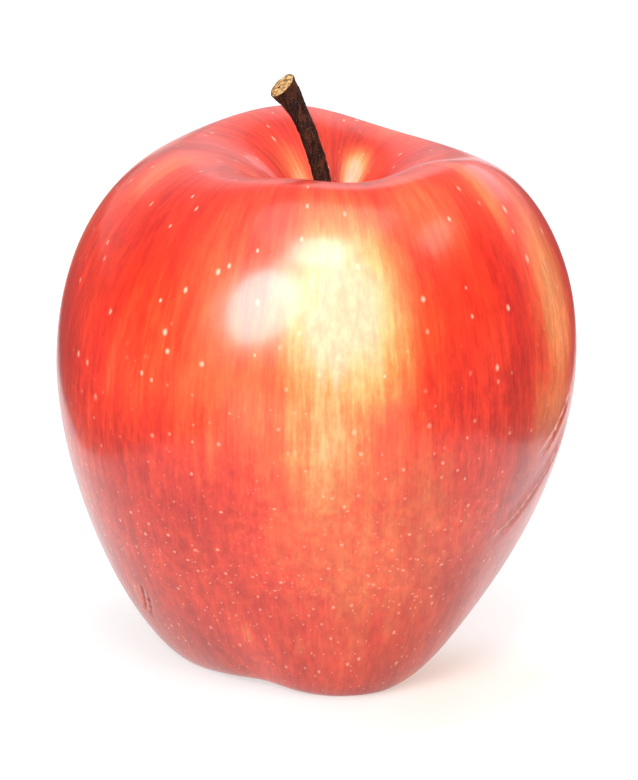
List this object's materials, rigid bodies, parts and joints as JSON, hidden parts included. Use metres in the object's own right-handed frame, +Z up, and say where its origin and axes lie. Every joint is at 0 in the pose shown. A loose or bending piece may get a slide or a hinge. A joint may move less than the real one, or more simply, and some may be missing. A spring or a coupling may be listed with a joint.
{
  "type": "apple",
  "caption": "Whole red conical apple with a bent woody stem in its cavity and a dried calyx underneath, standing on its base.",
  "frame": {"origin": "middle of the object's box in X and Y, on the surface that the apple stands on", "axes": "+Z up from the base towards the stem; the stem leans towards -X; the apple's front, with its yellow patch, faces -Y"},
  "size_m": [0.076, 0.075, 0.0853],
  "materials": {
    "skin": "waxy apple skin, red over yellow",
    "bark": "dull woody stem with a pale cut end",
    "dried_leaf": "dry, matt, slightly hairy"
  },
  "bodies": {
    "root": {"fruit": "skin", "stem": "bark", "sepal_1": "dried_leaf", "sepal_2": "dried_leaf", "sepal_3": "dried_leaf", "sepal_4": "dried_leaf", "sepal_5": "dried_leaf", "stamens": "dried_leaf"}
  },
  "joints": []
}
